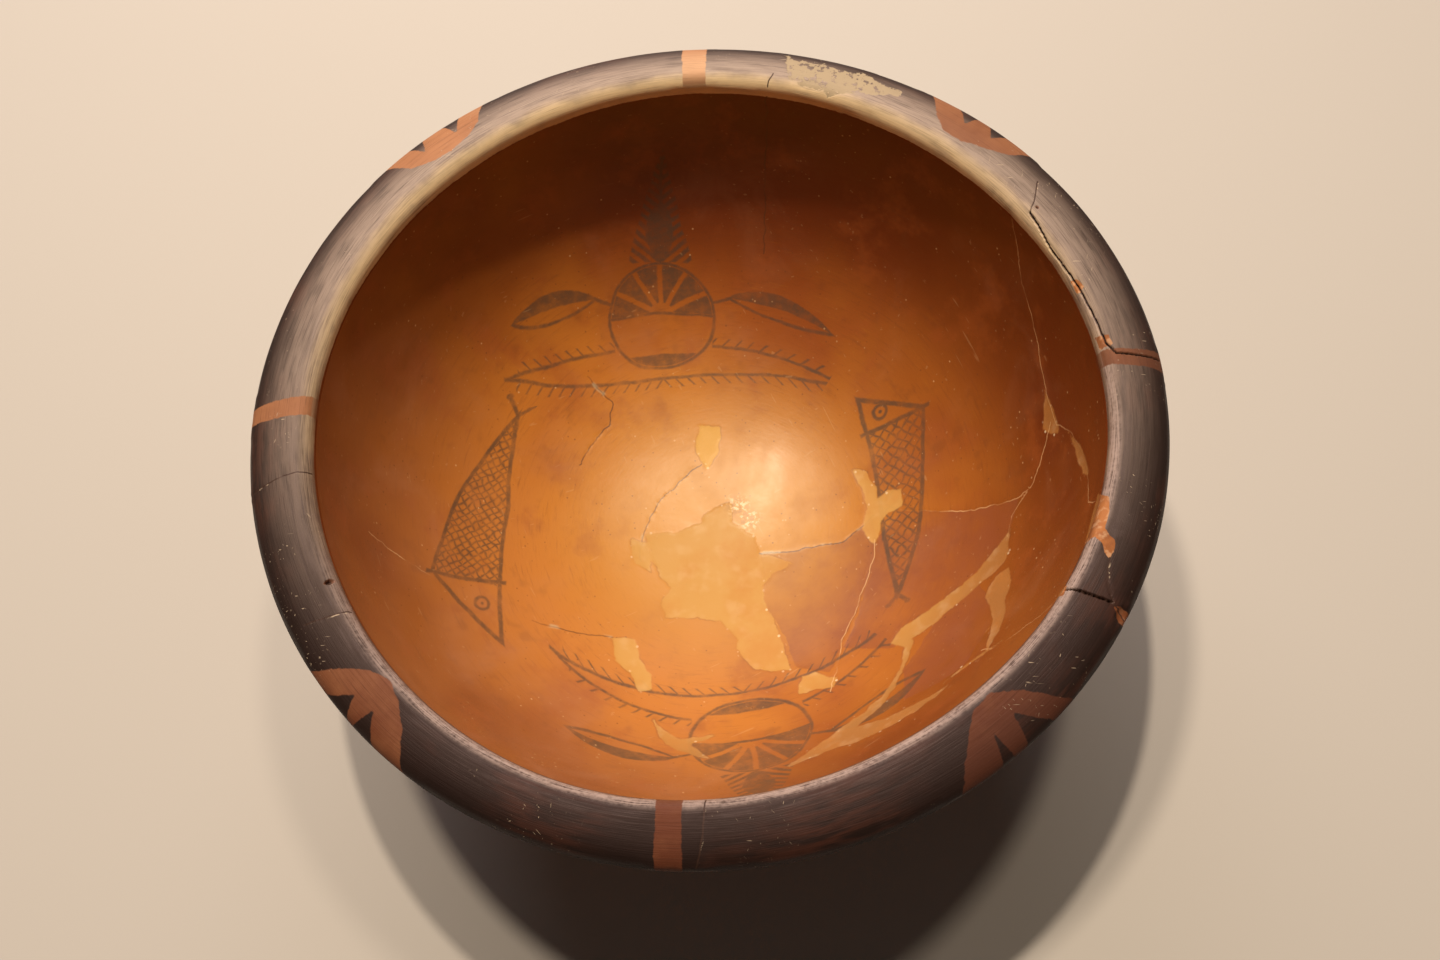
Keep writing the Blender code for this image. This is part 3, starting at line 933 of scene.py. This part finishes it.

# The lip's dark slip was brushed on in streaks, and runs over the mouth's edge. Handling has polished its
# crown.
# It is thin and red-brown in places, and carries fine pale scratches. Its paler bands are painted light: a
# mauve sheen on the crown, a lilac highlight and a cream highlight along the mouth's edge on the far side,
# and a pale highlight along the near edge.
SLIP_DARK = (0.013, 0.0065, 0.0050)
SLIP_BROWN = (0.041, 0.0140, 0.0088)
SLIP_SHEEN_MAUVE = (0.096, 0.054, 0.045)
SLIP_HIGHLIGHT_LILAC = (0.37, 0.295, 0.255)
SLIP_HIGHLIGHT_PALE = (0.39, 0.295, 0.280)
BARE_RED = (0.110, 0.030, 0.012)
BARE_ORANGE = (0.37, 0.163, 0.077)
BARE_PALE = (0.58, 0.36, 0.22)
FLAKED_PALE = (0.35, 0.275, 0.19)
EDGE_HIGHLIGHT_CREAM = (0.80, 0.60, 0.36)
SCRATCH_PALE = (0.42, 0.33, 0.25)
LIP_PLASTER = (0.36, 0.13, 0.036)
mouth_run = MOUTH_RUN * 1000
edge_run = EDGE_RUN * 1000
neck_run = NECK_RUN * 1000


def lip_paint(spot):
    run = spot.kept("run")
    blotch = spot.mottle(16, 3, 0.6)
    mottle = spot.mottle(60, 3, 0.6)
    fine = spot.mottle(520, 2, 0.6)
    streak = streaks(spot, run, 1900).mottle(1, 4, 0.65)
    broad = streaks(spot, run, 330).mottle(1, 3, 0.6)
    slip = spot.painted(SLIP_DARK).into(SLIP_BROWN, blotch.rise(0.42, 0.66) * broad.rise(0.35, 0.62))
    # Painted light: the far side is lit, so the slip there is painted paler.
    painted_lit_side = spot.dot((0, 1, 0)).rise(-0.14, 0.20)
    near_side = spot.dot((0.2, -0.98, 0)).rise(-0.02, 0.10)
    crown = run.rise(mouth_run + 9, mouth_run + 3)
    marks = broad.rise(0.25, 0.60) * 0.6 + streak.rise(0.35, 0.65) * 0.4
    # A painted mauve sheen on the crown, and over the far side's top.
    painted_mauve_sheen = (crown + painted_lit_side * run.rise(edge_run - 1, mouth_run + 12)).least(1)
    slip = slip.into(SLIP_SHEEN_MAUVE, painted_mauve_sheen * (marks * 0.6 + 0.3))
    # A painted lilac highlight over the far side's top.
    painted_far_highlight = painted_lit_side * run.rise(edge_run - 4, mouth_run + 10)
    slip = slip.into(SLIP_HIGHLIGHT_LILAC, painted_far_highlight * (marks * 0.5 + 0.4))
    slip = slip.into(SLIP_DARK, streak.rise(0.50, 0.28) * 0.42)
    slip = slip.into(SLIP_BROWN, streak.rise(0.60, 0.74) * 0.35)
    # a painted cream highlight along the mouth's edge, strongest on the far side, a painted pale highlight
    # along the near edge, and where the paint ends below that
    worn = (streak * 0.9 + mottle * 0.9 + painted_lit_side * 0.6).rise(0.80, 1.60)
    worn = worn * (run + (mottle - 0.5) * 8).rise(mouth_run + 11, mouth_run + 3)
    slip = slip.into(EDGE_HIGHLIGHT_CREAM, worn * (painted_lit_side * 0.92 + 0.04))
    # The pale streaky band along the near edge is a painted highlight.
    rubbed = (run + (blotch - 0.5) * 4).rise(mouth_run + 10, mouth_run + 5.5)
    rubbed = rubbed * run.rise(mouth_run + 0.8, mouth_run + 3) * near_side
    rubbed = rubbed * (streak * 0.7 + fine * 0.3).rise(0.32, 0.58)
    slip = slip.into(SLIP_HIGHLIGHT_PALE, rubbed * (blotch * 0.7 + 0.5))
    # Below the paint's end the clay is red, darkened by painted shade under the lip.
    below = run + painted_lit_side * 3 + (mottle - 0.5) * 1.6 + (fine - 0.5) * 0.8
    below = below.rise(mouth_run + 0.4, mouth_run - 0.3)
    slip = slip.into(spot.painted(CLAY_RED).into(CLAY_SHADE_RED, blotch * 0.9 + 0.3), below)
    # the bare bars and fields: painted lighter and more orange on the lit sides, with a painted sheen on the
    # far bar and painted shade on the near right
    bare = (spot.kept("bare") + (fine - 0.5) * 1.2 + (mottle - 0.5) * 0.8).rise(-0.35, 0.35)
    # Painted light: the bare clay is lighter and more orange on the far left and on two other bars.
    painted_lit_bare_side = spot.dot((-0.40, 0.92, 0)).rise(-0.06, 0.20)
    orange = painted_lit_bare_side * 0.9 + spot.dot((1, 0.1, 0)).rise(0.15, 0.18) * 0.22 + (mottle - 0.5) * 0.6
    orange = orange + spot.dot((-0.8, -0.6, 0)).rise(0.15, 0.18) * 0.14
    red = spot.painted(BARE_RED).into(BARE_ORANGE, orange.most(0))
    # Painted sheen: the far bar is paler.
    painted_far_bar_sheen = spot.dot((0, 1, 0)).rise(0.165, 0.180)
    red = red.into(BARE_PALE, painted_far_bar_sheen * run.rise(edge_run + 2, mouth_run + 14) * 0.7)
    # Painted shade: the near right fields are darker, most towards the outer edge.
    painted_shade_near_right = spot.dot((0.75, -0.66, 0)).rise(0.08, 0.16)
    red = red.into(SLIP_BROWN, painted_shade_near_right * (run.rise(mouth_run + 9, edge_run - 6) * 0.45 + 0.20))
    red = red.into(SLIP_BROWN, streak.rise(0.50, 0.72) * 0.4)
    bare = bare * run.rise(mouth_run + 1, mouth_run + 4).most(-painted_lit_side + 1)
    slip = slip.into(red, bare * 0.92)
    slip = slip.into(CLAY_RED, run.rise(neck_run - 9, neck_run - 5))
    # the flaked patch, scratches, plaster and breaks
    flake = spot.kept("flaked") + (fine - 0.5) * 3.2 + (mottle - 0.5) * 5.5
    flake = flake.rise(-0.2, 0.4) * spot.mottle(260, 3, 0.7).rise(0.62, 0.54)
    slip = slip.into(FLAKED_PALE, flake * (mottle * 0.5 + 0.62).least(1))
    pale = scratches(spot, 25, 1500) + scratches(spot, 100, 1200) + scratches(spot, -40, 1900)
    pale = pale.least(1) * spot.mottle(28, 2).rise(0.50, 0.62)
    slip = slip.into(SCRATCH_PALE, pale * 0.75)
    chips = spot.grains(230).rise(0.12, 0.05) * spot.mottle(30, 1).rise(0.54, 0.68)
    slip = slip.into(SCRATCH_PALE, chips * 0.35)
    fill = (spot.kept("fill") + (fine - 0.5) * 0.6 + (mottle - 0.5) * 0.8).rise(-0.2, 0.2)
    plaster = spot.painted(LIP_PLASTER).into(BARE_RED, mottle.rise(0.40, 0.62) * 0.6)
    plaster = plaster.into(BARE_PALE, spot.mottle(300, 2).rise(0.48, 0.66) * 0.45)
    plaster = plaster.into(BARE_RED, run.rise(mouth_run + 14, mouth_run + 22) * 0.8)
    slip = slip.into(plaster, fill * 0.92)
    beside = spot.kept("dark side")
    at_hair = spot.kept("dark near").rise(1.2, 0.8)
    hair = abs(beside).rise(0.46, 0.16) * at_hair
    chipped = abs(beside - 0.50).rise(0.45, 0.15) * at_hair * fine.rise(0.50, 0.62) * mottle.rise(0.45, 0.60)
    slip = slip.into(SCRATCH_PALE, chipped * 0.8)
    slip = slip.into(CRACK_DARK, hair * mottle.rise(0.25, 0.45) * 0.9)
    crack = spot.kept("crack near").rise(0.60, 0.35)
    pit = spot.kept("pit")
    slip = slip.into(CLAY_BROWN, pit.rise(-0.3, 0.1) * 0.7)
    slip = slip.into(CRACK_DARK, crack.most(pit.rise(0.1, 0.5)))
    roughness = mottle * 0.10 + streak.rise(0.30, 0.66) * 0.16 + 0.44 - crown * 0.16
    roughness = roughness + bare * 0.12 + flake * 0.25 + fill * 0.20
    height = streak * 0.10 + broad * 0.06 + fine * 0.03 + flake * -0.12 + mottle * 0.10 + pale * -0.03
    return slip, roughness, height


finish("lip paint", lip_paint, 0.27, shine=(1, 0.77, 0.83))


# The outside was scraped and rubbed, and left unpainted. It is redder than the inside and rougher, with dark
# smudges from the fire.
def outer_clay(spot):
    run = spot.kept("run")
    smudge = spot.mottle(7, 3, 0.6)
    mottle = spot.mottle(30, 4, 0.6)
    fine = spot.mottle(380, 3, 0.6)
    streak = streaks(spot, run, 420).mottle(1, 3, 0.6)
    wiped = streaks(spot, run, 90).mottle(1, 4, 0.6)
    rubbed = mottle.rise(0.30, 0.80) + wiped.rise(0.30, 0.70)
    clay = spot.painted(CLAY_RED).into(CLAY_ORANGE, rubbed * 0.35)
    clay = clay.into(CLAY_BROWN, smudge.rise(0.52, 0.78) * mottle.rise(0.20, 0.60) * 0.55)
    clay = clay.into(CLAY_BROWN, streak.rise(0.50, 0.80) * 0.35)
    clay = clay.into(HAIR_PALE, spot.grains(200).rise(0.14, 0.06) * 0.5)
    worn_foot = run.rise(FOOT_RUN * 1000 - 6, FOOT_RUN * 1000 - 1)
    clay = clay.into(CLAY_YELLOW, worn_foot * mottle.rise(0.3, 0.6) * 0.5)
    roughness = mottle * 0.15 + 0.46
    height = fine * 0.06 + streak * 0.12 + mottle * 0.15
    return clay, roughness, height


finish("outer clay", outer_clay)

# Which finish each face has: the bowl's four quarters each hold one picture, and the lip lies above them.
QUARTERS = (("bowl far", 45.5, 141.8), ("bowl left", 141.8, 211.0), ("bowl near", 211.0, 313.0))
names = [material.name for material in basin_mesh.materials]
corners = np.zeros(len(basin_mesh.polygons) * 3, np.int32)
basin_mesh.polygons.foreach_get("vertices", corners)
corners = corners.reshape(-1, 3)
face_run = runs[corners].mean(axis=1)
face_spot = points[corners].mean(axis=1)
face_angle = np.degrees(np.arctan2(face_spot[:, 1], face_spot[:, 0])) % 360
finish_of = np.full(len(corners), names.index("bowl right"), np.int32)
for name, start, end in QUARTERS:
    finish_of[(face_angle >= start) & (face_angle < end)] = names.index(name)
finish_of[face_run > PAINT_RUN] = names.index("lip paint")
finish_of[face_run > NECK_RUN] = names.index("outer clay")
basin_mesh.polygons.foreach_set("material_index", finish_of)
basin_mesh.update()

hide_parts("basin")
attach(basin, "root")

# A plain pale floor, and soft lamps: three small ones hang high above the basin's far side, so that its lip
# shades the wall below. A wide low one beyond the basin puts the sheen on the lip.
FLOOR_SIZE = 6
FLOOR_COLOUR = (0.44, 0.41, 0.40)
FLOOR_ROUGHNESS = 0.8
bpy.ops.mesh.primitive_plane_add(size=FLOOR_SIZE)
floor = bpy.context.object
floor.name = "floor"
floor_paint = bpy.data.materials.new("floor paint")
floor_paint.use_nodes = True
floor_shader = floor_paint.node_tree.nodes["Principled BSDF"]
wire_up(floor_shader, {"Base Color": FLOOR_COLOUR, "Roughness": FLOOR_ROUGHNESS})
floor.data.materials.append(floor_paint)

# Each lamp: where it stands, how wide and how high it is, how bright in watts and its colour
WARM = (1.0, 0.84, 0.62)
LAMPS = (
    ((-0.40, 0.57, 2.29), (0.16, 0.16), 29, WARM),
    ((-0.06, 0.70, 2.30), (0.08, 0.08), 37, WARM),
    ((0.50, 0.55, 2.25), (0.20, 0.20), 13, WARM),
    ((-0.10, 1.60, 1.10), (1.60, 1.20), 20, (1.0, 0.89, 0.84)),
)
AIM = Vector((0, 0, 0.05))
ROOM_COLOUR = (1.0, 0.86, 0.70)
ROOM_LIGHT = 0.05
for number, (place, size, watts, tint) in enumerate(LAMPS, 1):
    light = bpy.data.lights.new(f"lamp {number}", "AREA")
    light.shape = "ELLIPSE"
    light.size, light.size_y = size
    light.energy = watts
    light.color = tint
    lamp = bpy.data.objects.new(light.name, light)
    lamp.location = place
    lamp.rotation_euler = (AIM - lamp.location).to_track_quat("-Z", "Y").to_euler()
    bpy.context.scene.collection.objects.link(lamp)

world = bpy.data.worlds.new("room")
world.use_nodes = True
wire_up(world.node_tree.nodes["Background"], {"Color": ROOM_COLOUR, "Strength": ROOM_LIGHT})
bpy.context.scene.world = world
bpy.context.scene.view_settings.view_transform = "Standard"

# The camera looks down into the bowl from the front, as the photographer held theirs: tipped a little to one
# side, with the lip's middle above and left of the picture's middle.
LENS = 32.5
SENSOR = 36
PICTURE = (1440, 960)
LOOK_DOWN = math.radians(61.56)
DISTANCE = 0.5624
TIPPED = math.radians(7.30)
LIP_MIDDLE_PIXEL = (701.06, 392.64)
focal = LENS / SENSOR * PICTURE[0]
forward = Vector((0, math.cos(LOOK_DOWN), -math.sin(LOOK_DOWN)))
up = Vector((0, math.sin(LOOK_DOWN), math.cos(LOOK_DOWN)))
right = Vector((1, 0, 0))
towards = Vector((LIP_MIDDLE_PIXEL[0] - PICTURE[0] / 2, PICTURE[1] / 2 - LIP_MIDDLE_PIXEL[1], focal))
swing = Vector((0, 0, 1)).rotation_difference(towards).to_matrix()
tip = Matrix.Rotation(TIPPED, 3, "Z")
axes = swing @ tip @ Matrix((right, up, forward))
camera_data = bpy.data.cameras.new("camera")
camera_data.lens = LENS
camera_data.sensor_width = SENSOR
camera_data.clip_start = 0.01
camera = bpy.data.objects.new("camera", camera_data)
pose = Matrix((axes[0], axes[1], -axes[2])).transposed().to_4x4()
pose.translation = Vector((0, 0, HEIGHT)) - forward * DISTANCE
camera.matrix_world = pose
bpy.context.scene.collection.objects.link(camera)
bpy.context.scene.camera = camera
